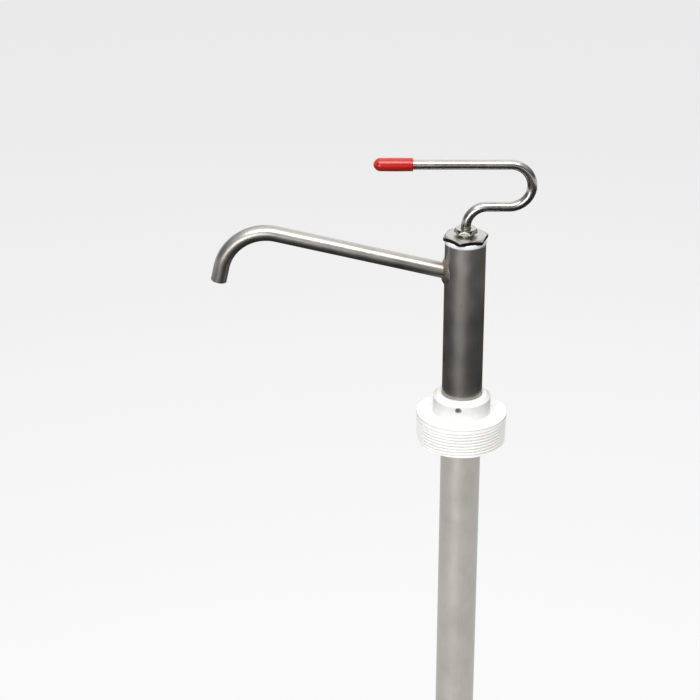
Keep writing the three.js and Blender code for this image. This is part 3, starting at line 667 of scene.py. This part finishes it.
def off_spout_axis(d, below, y):
    """Points d along the spout's axis, a distance below it and y aside."""
    x = -d * math.cos(SPOUT_SLOPE) - below * math.sin(SPOUT_SLOPE)
    z = SPOUT_AXIS_Z + d * math.sin(SPOUT_SLOPE) - below * math.cos(SPOUT_SLOPE)
    return np.stack([x, y, z], axis=1)


def spout_skin(sides=96):
    """Bent tube: its outside, rounded lip and bore, coped to the barrel at the root.

    On the lip's outer quarter circle the radius is outer - e + e cos(k), at e - e sin(k) from the
    mouth, and on the inner one it is inner + e - e sin(k), at e - e cos(k) from the mouth.
    """
    start = (-SPOUT_START * math.cos(SPOUT_SLOPE),
             SPOUT_AXIS_Z + SPOUT_START * math.sin(SPOUT_SLOPE))
    line = bent_line(start, math.pi - SPOUT_SLOPE, [
        ("straight", SPOUT_STRAIGHT - SPOUT_START), ("bend", SPOUT_BEND_R, SPOUT_BEND),
        ("straight", SPOUT_TAIL)])
    a = ring_angles(sides)

    def root(r):
        d, below, y = on_barrel(r, a)
        return off_spout_axis(d, below, y), np.stack([below, y, d - SPOUT_START], axis=1)

    outer, inner, edge = SPOUT_R, SPOUT_R - SPOUT_WALL, SPOUT_LIP
    mouth = line[-1]
    body = line.copy()
    body[-1] = further(mouth, -edge * 1.3)
    arc = np.linspace(0, math.pi / 2, EDGE_STEPS + 1)
    lip_out = np.array([further(mouth, -edge + edge * math.sin(k)) for k in arc])
    lip_in = np.array([further(mouth, -edge + edge * math.cos(k)) for k in arc])
    out_rings, out_flow = rings_along(body, np.full(len(body), outer), sides)
    lip_a, flow_a = rings_along(lip_out, outer - edge + edge * np.cos(arc), sides)
    lip_b, flow_b = rings_along(lip_in, inner + edge - edge * np.sin(arc), sides)
    in_rings, in_flow = rings_along(body[::-1], np.full(len(body), inner), sides)
    root_out, flow_out = root(outer)
    root_in, flow_in = root(inner)
    rings = np.concatenate([root_out[None], out_rings, lip_a, lip_b, in_rings, root_in[None]])
    flow = np.concatenate([flow_out[None], out_flow, flow_a, flow_b, in_flow, flow_in[None]])
    return grid_object("spout_skin", rings, flow, joined=True)


def weld_bead(sides=160):
    """Fillet from the barrel to the spout with the ripples and lumps of a hand-laid bead.

    A quadratic curve, (1 - v)^2 foot + 2 v (1 - v) corner + v^2 toe, runs from a foot on the barrel
    to a toe on the spout. It is pushed out by sin(pi v) times fine ripples, slow lumps and a blob
    on the bead's underside. Its last rows close it inside the metal.
    """
    a = ring_angles(sides)
    lumps = 0.35 * np.sin(3 * a + 0.7) + 0.22 * np.sin(7 * a + 2.1) + 0.12 * np.sin(13 * a)
    blob = np.exp(-(((np.mod(a + math.pi, TAU) - math.pi) / 0.34) ** 2))
    ripple = np.abs(np.sin(a * 15 + 0.6 * np.sin(4 * a)))
    foot_leg = 3.3 + 0.9 * np.cos(a) ** 2 + 0.35 * lumps
    toe_leg = 1.5 + 0.35 * lumps + 0.5 * blob
    d, below, y = on_barrel(SPOUT_R, a)
    foot = off_spout_axis(*on_barrel(SPOUT_R + foot_leg, a))
    toe = off_spout_axis(d + toe_leg, below, y)
    bulge = off_spout_axis(d + 1.1, below * 1.25, y * 1.25)
    corner = 0.45 * off_spout_axis(d + 0.5, below * 1.1, y * 1.1) + 0.55 * bulge
    push = bulge - off_spout_axis(d, below, y)
    push /= np.linalg.norm(push, axis=1)[:, None]
    rows = []
    for v in np.linspace(0, 1, 13):
        point = (1 - v) ** 2 * foot + 2 * v * (1 - v) * corner + v**2 * toe
        height = (0.05 + 0.22 * ripple + 0.14 * lumps + 0.3 * blob) * math.sin(math.pi * v)
        rows.append(point + push * height[:, None])
    rows.append(off_spout_axis(d + toe_leg, below * 0.95, y * 0.95))
    rows.append(off_spout_axis(*on_barrel(SPOUT_R * 0.95, a, -0.4)))
    rows.append(off_spout_axis(*on_barrel(SPOUT_R + foot_leg, a, -0.4)))
    return grid_object("weld_bead", np.stack(rows), joined=True, smooth_angle=60)


stand_in(spout_skin(), spout_steel, "tube_steel", "barrel", "spout_tube")
stand_in(weld_bead(), weld_steel, "weld_steel", "barrel", "spout_weld")


# ---------------------------------------------------------------- gland


def hex_radius(t, flats, turn, corner=0.5, ease=0.03):
    """Outline of a hexagon: flats / 2 / cos(angle from the nearest flat), eased near its corners.

    The corners are cut at flats / sqrt(3) - 0.155 corner, and a soft minimum joins the two.
    """
    away = np.mod(t - turn, TAU / 6) - TAU / 12
    sharp = flats / 2 / np.cos(away)
    tip = flats / math.sqrt(3) - corner * 0.155
    return -np.logaddexp(-sharp / ease, -np.full_like(sharp, tip) / ease) * ease


def hex_angles(turn, per_side=28):
    """Angles round a hexagon, sign(s) (1 - (1 - |s|)^1.7) along a side: closest at its corners."""
    share = np.linspace(-1, 1, per_side, endpoint=False)
    eased = np.sign(share) * (1 - (1 - np.abs(share)) ** 1.7)
    side = (eased + 1) / 2 * (TAU / 6)
    return np.sort(np.mod(np.concatenate([turn + k * TAU / 6 + side for k in range(6)]), TAU))


def hex_piece(name, flats, turn, bottom, top, shank, bore, inset, slope):
    """A hexagon whose upper corners a cone takes off, over a round shank, with a stepped bore.

    Each row is a radius and a height round the piece. The cone's edge on a flat lies at
    top - (r - circle) tan(slope), where r is the hexagon's outline, so it dips at the corners.
    """
    t = hex_angles(turn)
    outline = hex_radius(t, flats, turn)
    circle = flats / 2 - inset
    drop = (outline - circle) * math.tan(slope)
    ease, edge = 0.06, 0.3
    inward, upward = ease * math.cos(slope), ease * math.sin(slope)
    shank_r, shank_bottom = shank
    hole_r = bore[0][0]
    rows = [
        (shank_r, shank_bottom), (shank_r, bottom - 0.02), (flats / 2 - 0.25, bottom),
        (outline - ease, bottom), (outline, bottom + ease),
        (outline, top - drop - ease), (outline - inward, top - drop + upward),
        (circle + inward, top - upward), (circle - ease, top),
        (hole_r + edge + 0.1, top), (hole_r + edge, top),
        (hole_r + edge * 0.3, top - edge * 0.3), (hole_r, top - edge)]
    return grid_object(name, rings_about_z(rows + bore, t), joined=True, smooth_angle=24)


def gasket_skin():
    """Soft ring squeezed out past the cap's flats.

    Its rim rises by lip (1 - u^2), with u from 0 at the middle of a flat to 1 at a corner.
    """
    t = ring_angles(240)
    away = np.abs(np.mod(t - CAP_TURN, TAU / 6) - TAU / 12)
    lip = GASKET_LIP * (1 - (away / (TAU / 12)) ** 2)
    flat_r = np.minimum(CAP_FLATS / 2 / np.cos(away) + 0.05, GASKET_R - 0.35)
    top, bottom = GASKET_TOP, BARREL_TOP
    rows = [
        (GASKET_BORE_R, bottom + 0.1), (GASKET_BORE_R, top - 0.05),
        (flat_r - 0.1, top - 0.02), (flat_r, top + lip * 0.8),
        (flat_r * 0.5 + GASKET_R * 0.5, top + lip), (GASKET_R - 0.12, top + lip * 0.75),
        (GASKET_R, top + lip * 0.3 - 0.2), (GASKET_R, bottom + 0.5),
        (GASKET_R - 0.1, bottom + 0.15), (GASKET_R - 0.35, bottom + 0.02)]
    return grid_object("gasket_skin", rings_about_z(rows, t), joined=True, smooth_angle=60)


cap = hex_piece(
    "cap_hexagon", CAP_FLATS, CAP_TURN, GASKET_TOP, CAP_TOP, (SHANK_R, SHANK_BOTTOM),
    [(STUFFING_R, STUFFING_FLOOR), (ROD_BORE_R, STUFFING_FLOOR), (ROD_BORE_R, SHANK_BOTTOM)],
    CAP_BEVEL_INSET, CAP_BEVEL_SLOPE)
nut = hex_piece(
    "gland_hexagon", GLAND_FLATS, GLAND_TURN, GLAND_BOTTOM, GLAND_TOP,
    (STUFFING_R - 0.15, GLAND_NECK_BOTTOM), [(ROD_BORE_R, GLAND_NECK_BOTTOM)],
    GLAND_BEVEL_INSET, GLAND_BEVEL_SLOPE)
stand_in(gasket_skin(), seal_plastic, "seal_plastic", "barrel", "cap_gasket")
stand_in(cap, cap_steel, "bright_steel", "barrel", "hex_cap")
stand_in(nut, nut_steel, "bright_steel", "barrel", "packing_nut")


# ---------------------------------------------------------------- rod, handle and grip


def rod_bar():
    """The rod and handle: one round bar along straights and bends in one plane."""
    low_z = HANDLE_Z - 2 * RETURN_BEND_R
    line = bent_line((0.0, ROD_BOTTOM), math.pi / 2, [
        ("straight", low_z - NECK_BEND_R - ROD_BOTTOM), ("bend", NECK_BEND_R, -math.pi / 2),
        ("straight", HANDLE_REACH - NECK_BEND_R), ("bend", RETURN_BEND_R, math.pi),
        ("straight", HANDLE_LENGTH)])
    line, radii = eased_ends(line, ROD_R, ROD_EDGE)
    rings, flow = rings_along(line, radii, 56)
    return grid_object("rod_bar", rings, flow)


def grip_cap():
    """Dipped cap about the X axis: eased mouth, slight swell, and a rounded cone for a nose.

    The side's radius is r + swell sin(pi s), with s from 0 at the mouth to 1 at the shoulder. The
    nose's is r (1 - u^1.7)^0.62, with u from 0 at the shoulder to 1 at the tip.
    """
    length = GRIP_MOUTH - GRIP_TIP
    bore = ROD_R + 0.05
    r = span("handle_grip", 1)[1]
    mouth = [(bore, GRIP_BORE_DEPTH), (bore, 0.25), (bore + 0.25, 0.0), (r - 0.5, 0.0),
             (r - 0.3, 0.05), (r - 0.15, 0.18)]
    r -= GRIP_SWELL
    s = np.linspace(0.5, length - GRIP_NOSE, 14)
    swell = GRIP_SWELL * np.sin(math.pi * (s - s[0]) / (s[-1] - s[0]))
    side = [(r + w, d) for d, w in zip(s, swell)]
    u = np.sin(np.linspace(0.06, math.pi / 2 - 0.04, 22))
    nose = [(r * (1 - k**1.7) ** 0.62, length - GRIP_NOSE * (1 - k)) for k in u]
    line = np.array(mouth + side + nose)
    t = ring_angles(72)
    across, along = line[:, :1], line[:, 1:]
    rings = np.stack([
        GRIP_MOUTH - along + 0 * t, across * np.cos(t), HANDLE_Z + across * np.sin(t)], axis=2)
    return grid_object("grip_cap", rings, smooth_angle=50)


stand_in(rod_bar(), bright_steel, "bright_steel", "plunger", "pump_rod")
stand_in(grip_cap(), red_vinyl, "red_vinyl", "plunger", "handle_grip")


# ---------------------------------------------------------------- adapter


def arc_points(centre_r, centre_z, r, start, end):
    """Points (radius, height) on an arc, from one angle to another."""
    return [(centre_r + r * math.cos(k), centre_z + r * math.sin(k))
            for k in np.linspace(start, end, EDGE_STEPS + 1)]


def thread_row(z, t, lead_r):
    """Radius of the plug's thread at a height: its tapered crest less a cut.

    The cut is depth * clip(1.35 tri(z / pitch - t / tau) - 0.18, 0, 1), where tri goes from 0 to 1
    and back in each turn. It fades at both ends of the thread, and the lead-in is a steep cone.
    """
    crest = PLUG_R + z * THREAD_TAPER
    turns = z / THREAD_PITCH - t / TAU
    wave = np.abs(2 * (turns - np.floor(turns + 0.5)))
    cut = THREAD_DEPTH * np.clip(wave * 1.35 - 0.18, 0, 1)
    start = np.clip((z - PLUG_BOTTOM - 0.6) / 2.5, 0, 1)
    stop = np.clip((THREAD_END - z) / 2.0, 0, 1)
    lead = np.minimum(crest, lead_r + (z - PLUG_BOTTOM) * 1.1)
    return np.minimum(lead, crest - cut * stop * (0.3 + 0.7 * start))


def screw_hole(wall, ring_index, base):
    """Points and quads of the blind screw hole that fills a square gap in the boss's wall.

    ring_index lists the gap's border points among wall. Loop by loop they move to a circle of
    the hole's radius, at depth sqrt(R^2 - across^2) on the boss, and then go inward. base is the
    number that the first new point gets.
    """
    out = np.array([math.cos(SCREW_TURN), math.sin(SCREW_TURN), 0])
    aside, up = np.array([-out[1], out[0], 0]), np.array([0, 0, 1])
    border = wall[ring_index]
    flat = np.stack([border @ aside, border[:, 2] - SCREW_Z], axis=1)
    ray = flat / np.linalg.norm(flat, axis=1)[:, None]
    rim = ray * SCREW_HOLE_R
    rim_depth = np.sqrt(BOSS_R**2 - rim[:, 0] ** 2)
    patch = []
    for share in (0.4, 0.75, 1.0):
        across = flat * (1 - share) + ray * (SCREW_HOLE_R + 0.18) * share
        patch.append((across, np.sqrt(BOSS_R**2 - across[:, 0] ** 2)))
    patch.append((ray * (SCREW_HOLE_R + 0.05), rim_depth - 0.06))
    patch.append((rim, rim_depth - 0.2))
    patch.append((rim, np.full(len(rim), SCREW_FLOOR_R)))
    points = [
        d[:, None] * out + a[:, :1] * aside + up * (a[:, 1:] + SCREW_Z) for a, d in patch]
    points.append((out * SCREW_FLOOR_R + up * SCREW_Z)[None])
    count = len(ring_index)
    loops = [ring_index] + [base + k * count + np.arange(count) for k in range(len(patch))]
    quads = [np.stack([outer, np.roll(outer, -1), np.roll(inner, -1), inner], axis=1)
             for inner, outer in zip(loops[1:], loops[:-1])]
    last = loops[-1]
    middle = np.full(count, base + len(patch) * count)
    fan = np.stack([last, np.roll(last, -1), middle], axis=1)
    return np.concatenate(points), np.concatenate(quads), fan


def adapter_skin():
    """Turned plug with a helical thread, and a boss with a blind screw hole in its side.

    The rows of radius and height go round the section. The hole takes the place of a square of the
    quads in the boss's wall.
    """
    sides = 216
    t = ring_angles(sides)
    bore, top, chamfer = ADAPTER_BORE_R, BOSS_TOP, BOSS_CHAMFER
    edge, shoulder_edge, foot_fillet = 0.25, 0.35, 0.4
    right = math.pi / 2
    lead_r = PLUG_R + PLUG_BOTTOM * THREAD_TAPER - THREAD_DEPTH - 0.4
    rows = [(bore, PLUG_BOTTOM + 0.3), (bore + 0.3, PLUG_BOTTOM),
            (lead_r - 0.5, PLUG_BOTTOM), (lead_r, PLUG_BOTTOM + 0.3)]
    rows += [(thread_row(z, t, lead_r), z)
             for z in np.linspace(PLUG_BOTTOM + 0.6, THREAD_END, 112)]
    rows += [(PLUG_R, -1.4), (PLUG_R, -0.5)]
    rows += arc_points(PLUG_R - shoulder_edge, -shoulder_edge, shoulder_edge, 0, right)
    rows += [(PLUG_R - 0.6, 0), (BOSS_R + 0.8, 0)]
    rows += arc_points(BOSS_R + foot_fillet, foot_fillet, foot_fillet, 3 * right, 2 * right)
    wall = np.linspace(1.2, top - chamfer - 0.35, 18)
    first_wall = len(rows)
    rows += [(BOSS_R, z) for z in wall]
    rows += [
        (BOSS_R, top - chamfer - 0.12), (BOSS_R - 0.03, top - chamfer + 0.02),
        (BOSS_R - 0.15, top - chamfer + 0.15),
        (BOSS_R - chamfer + 0.2, top - 0.2), (BOSS_R - chamfer + 0.02, top - 0.04),
        (BOSS_R - chamfer - 0.2, top), (bore + 0.5, top)]
    rows += arc_points(bore + edge, top - edge, edge, right, 2 * right)
    rows += [(bore, top - 1)]
    points = rings_about_z(rows, t).reshape(-1, 3)
    faces = grid_faces(len(rows), sides, True)

    half_columns, half_rows = 9, 5
    middle_row = first_wall + int(np.argmin(np.abs(wall - SCREW_Z)))
    middle_column = int(round(np.mod(SCREW_TURN, TAU) / (TAU / sides)))
    low_row, high_row = middle_row - half_rows, middle_row + half_rows
    low_column, high_column = middle_column - half_columns, middle_column + half_columns
    face_row, face_column = faces[:, 0] // sides, faces[:, 0] % sides
    inside = ((face_row >= low_row) & (face_row < high_row)
              & (face_column >= low_column) & (face_column < high_column))
    border = [(low_row, c) for c in range(low_column, high_column)]
    border += [(r, high_column) for r in range(low_row, high_row)]
    border += [(high_row, c) for c in range(high_column, low_column, -1)]
    border += [(r, low_column) for r in range(high_row, low_row, -1)]
    ring_index = np.array([r * sides + c for r, c in border])
    hole_points, hole_quads, floor = screw_hole(points, ring_index, len(points))
    points = np.vstack([points, hole_points])
    quads = np.concatenate([faces[~inside], hole_quads])
    return mesh_object("adapter_skin", points, [quads, floor], points, smooth_angle=35)


stand_in(adapter_skin(), white_plastic, "white_plastic", "adapter", "bung_adapter")


# ---------------------------------------------------------------- foot valve


def foot_plug_skin():
    """Spigot and skirt turned about Z, with four straight-sided notches in the skirt's edge.

    At radius r a notch's wall lies asin(half / r) round from its middle. Inside a notch the rows
    below a level are pressed up between the notch's top and that level.
    """
    low, seat = FOOT_PLUG_BOTTOM, FOOT_SEAT_BOTTOM
    line = rounded([
        (10.0, low), (BARREL_R, low), (BARREL_R, BARREL_BOTTOM), (FOOT_FIT_R, BARREL_BOTTOM),
        (FOOT_FIT_R, FOOT_PLUG_TOP), (9.1, FOOT_PLUG_TOP), (9.1, seat), (6.0, seat),
        (6.0, low + 14.0), (10.0, low + 10.0)], 0.25, closed=True)
    quarter, thin = TAU / 4, 1e-4
    wall = math.asin(NOTCH_HALF / BARREL_R)
    local = np.concatenate([
        np.linspace(-TAU / 8, -wall - thin, 14), np.linspace(-wall + thin, wall - thin, 11),
        np.linspace(wall + thin, TAU / 8, 14)[:-1]])
    t = np.concatenate([local + k * quarter for k in range(4)])
    middle = np.repeat(np.arange(4) * quarter, len(local))
    away = t - middle
    inside = np.abs(away) < wall
    level, top = low + NOTCH_HEIGHT + 1.6, low + NOTCH_HEIGHT
    rings = []
    for r, z in line:
        at = math.asin(NOTCH_HALF / max(r, 9.0))
        beyond = at + (np.abs(away) - wall) * (TAU / 8 - at) / (TAU / 8 - wall)
        warped = middle + np.where(inside, away * at / wall, np.sign(away) * beyond)
        pressed = top + (z - low) * (level - top) / (level - low)
        height = np.where(inside & (z < level), pressed, z)
        rings.append(np.stack([r * np.cos(warped), r * np.sin(warped), height], axis=1))
    return grid_object("foot_plug_skin", np.stack(rings), joined=True)


def foot_ball_turned():
    """Sphere (r cos b, z + r sin b), with b up from just off one pole to just off the other."""
    r, z = (FOOT_BALL_HIGH - FOOT_BALL_LOW) / 2, (FOOT_BALL_HIGH + FOOT_BALL_LOW) / 2
    side = [(r * math.cos(b), z + r * math.sin(b)) for b in np.linspace(-1.5, 1.5, 40)]
    return turned("foot_ball_turned", [(0, z - r)] + side + [(0, z + r)], 0, 72)


foot_seat = turned("foot_seat_turned", [
    (9.0, FOOT_SEAT_BOTTOM), (9.0, FOOT_SEAT_TOP), (5.0, FOOT_SEAT_TOP),
    (5.0, FOOT_SEAT_BOTTOM)], 0.2)
foot_ball = foot_ball_turned()
stand_in(foot_plug_skin(), bright_steel, "bright_steel", "barrel", "foot_plug")
stand_in(foot_seat, seal_plastic, "seal_plastic", "barrel", "foot_seat")
stand_in(foot_ball, ball_steel, "ball_steel", "foot_valve", "foot_ball")


def stop_pin():
    """Cross pin about the Y axis with domed ends: at k r from its axis it ends 0.35 k^2 short."""
    r = (PIN_HIGH - PIN_LOW) / 2
    z = (PIN_HIGH + PIN_LOW) / 2
    half = [(r * k, PIN_REACH - 0.35 * k**2) for k in (0.35, 0.7, 0.95, 1.0)]
    line = np.array([(a, -b) for a, b in half] + half[::-1])
    t = ring_angles(40)
    across, along = line[:, :1], line[:, 1:]
    rings = np.stack([across * np.cos(t), along + 0 * t, z + across * np.sin(t)], axis=2)
    return grid_object("stop_pin", rings)


stand_in(stop_pin(), bright_steel, "bright_steel", "barrel", "ball_stop_pin")


# ---------------------------------------------------------------- nodes that stay as they are

LOOKS = {
    "bright_steel": nut_steel, "tube_steel": barrel_steel, "weld_steel": weld_steel,
    "ball_steel": ball_steel, "white_plastic": white_plastic, "seal_plastic": seal_plastic,
    "red_vinyl": red_vinyl, "black_rubber": black_rubber,
}
slot_of = {entry["node"]: entry["material_slot"] for entry in frame["record"]["subparts"]}
for node, cad_object in frame["nodes"].items():
    finish(cad_object, LOOKS[slot_of[node]])


# ---------------------------------------------------------------- floor, light and camera


def stage_sheet(name, points, colour, roughness, glow=0.0):
    """A flat sheet with the given corners, in metres, and a plain matt finish with an even glow."""
    mesh = bpy.data.meshes.new(name)
    mesh.from_pydata([tuple(point) for point in points], [], [tuple(range(len(points)))])
    sheet = bpy.data.objects.new(name, mesh)
    bpy.context.scene.collection.objects.link(sheet)
    made, _, shader = material(name)
    shader.inputs["Base Color"].default_value = colour
    shader.inputs["Roughness"].default_value = roughness
    shader.inputs["Specular IOR Level"].default_value = 0.1
    shader.inputs["Emission Color"].default_value = (1, 1, 1, 1)
    shader.inputs["Emission Strength"].default_value = glow
    finish(sheet, made)
    return sheet


def pale_floor(z, reach=30.0):
    """A square far larger than the view, at a height in millimetres, with its reach in metres."""
    corners = [(-reach, -reach), (reach, -reach), (reach, reach), (-reach, reach)]
    points = [(x, y, z * MM) for x, y in corners]
    stage_sheet("pale_floor", points, colour=(0.35, 0.35, 0.35, 1), roughness=0.9, glow=0.64)


def dark_flag(x, y, z, radius):
    """A studio flag: a disc, black from above and clear from below, that only reflections see."""
    t = ring_angles(64)
    points = np.stack([x + radius * np.cos(t), y + radius * np.sin(t), z + 0 * t], axis=1) * MM
    flag = stage_sheet("dark_flag", points.tolist(), (0.012, 0.012, 0.012, 1), 0.9)
    flag.visible_camera = flag.visible_shadow = False
    flag.visible_transmission = flag.visible_volume_scatter = False
    tree = flag.data.materials[0].node_tree
    under = add(tree, "ShaderNodeNewGeometry").outputs["Backfacing"]
    above = sums(tree, "SUBTRACT", 1.0, under)
    tree.links.new(above, tree.nodes["Principled BSDF"].inputs["Alpha"])


def soft_box(name, place, aim, width, height, power):
    """A rectangular area light that looks at a point."""
    light = bpy.data.lights.new(name, "AREA")
    light.shape = "RECTANGLE"
    light.size, light.size_y, light.energy = width, height, power
    lamp = bpy.data.objects.new(name, light)
    lamp.visible_camera = False
    bpy.context.scene.collection.objects.link(lamp)
    place, aim = np.array(place, float), np.array(aim, float)
    lamp.location = place
    direction = aim - place
    direction /= np.linalg.norm(direction)
    tilt = math.acos(-direction[2])
    lamp.rotation_euler = (tilt, 0, math.atan2(direction[1], direction[0]) - math.pi / 2)
    return lamp


pale_floor(FOOT_PLUG_BOTTOM - BARREL_DROP)
dark_flag(x=-30, y=-250, z=-1, radius=650)
soft_box("overhead", place=(-0.1, 0.0, 1.35), aim=(-0.1, 0.0, 0), width=2.3, height=2.0, power=11)
soft_box("key", place=(-0.1, -0.75, 1.3), aim=(-0.1, 0, 0.1), width=1.6, height=0.8, power=16)
soft_box("front_left", place=(-0.5, -1.15, 0.12), aim=(0, 0, 0.05), width=0.75, height=0.9,
         power=6.5)
soft_box("back", place=(0.5, 1.8, 1.0), aim=(0, 0, 0.1), width=1.6, height=1.0, power=5)


def studio_world():
    """Even pale light, which reflections see as a dark room with a light ceiling and far wall."""
    world = bpy.data.worlds.new("studio")
    bpy.context.scene.world = world
    world.use_nodes = True
    tree = world.node_tree
    place = add(tree, "ShaderNodeTexCoord").outputs["Generated"]
    towards = add(tree, "ShaderNodeSeparateXYZ", {0: place}).outputs
    ray = add(tree, "ShaderNodeLightPath").outputs
    ceiling = remap(tree, towards[2], 0.25, 0.6, 0.1, 0.5)
    far_wall = remap(tree, towards[1], 0.3, 0.8, 0.0, 0.7)
    room = sums(tree, "MAXIMUM", ceiling, far_wall)
    plain = 0.45
    level = add(tree, "ShaderNodeMix", {0: ray["Is Glossy Ray"], 2: plain, 3: room}).outputs[0]
    tree.links.new(level, tree.nodes["Background"].inputs["Strength"])
    tree.nodes["Background"].inputs["Color"].default_value = (1, 1, 1, 1)


studio_world()

CAMERA_PLACE = (-0.0744, -1.2878, 0.6550)  # metres
CAMERA_DOWN = math.radians(25.37)  # how far it looks below the horizon
LENS, SENSOR_WIDTH = 111.24, 36.0  # millimetres

camera = bpy.data.cameras.new("camera")
camera.sensor_width = SENSOR_WIDTH
camera.lens = LENS
view = bpy.data.objects.new("camera", camera)
bpy.context.scene.collection.objects.link(view)
view.location = CAMERA_PLACE
view.rotation_euler = (math.pi / 2 - CAMERA_DOWN, 0, 0)
bpy.context.scene.camera = view
bpy.context.scene.view_settings.view_transform = "Standard"
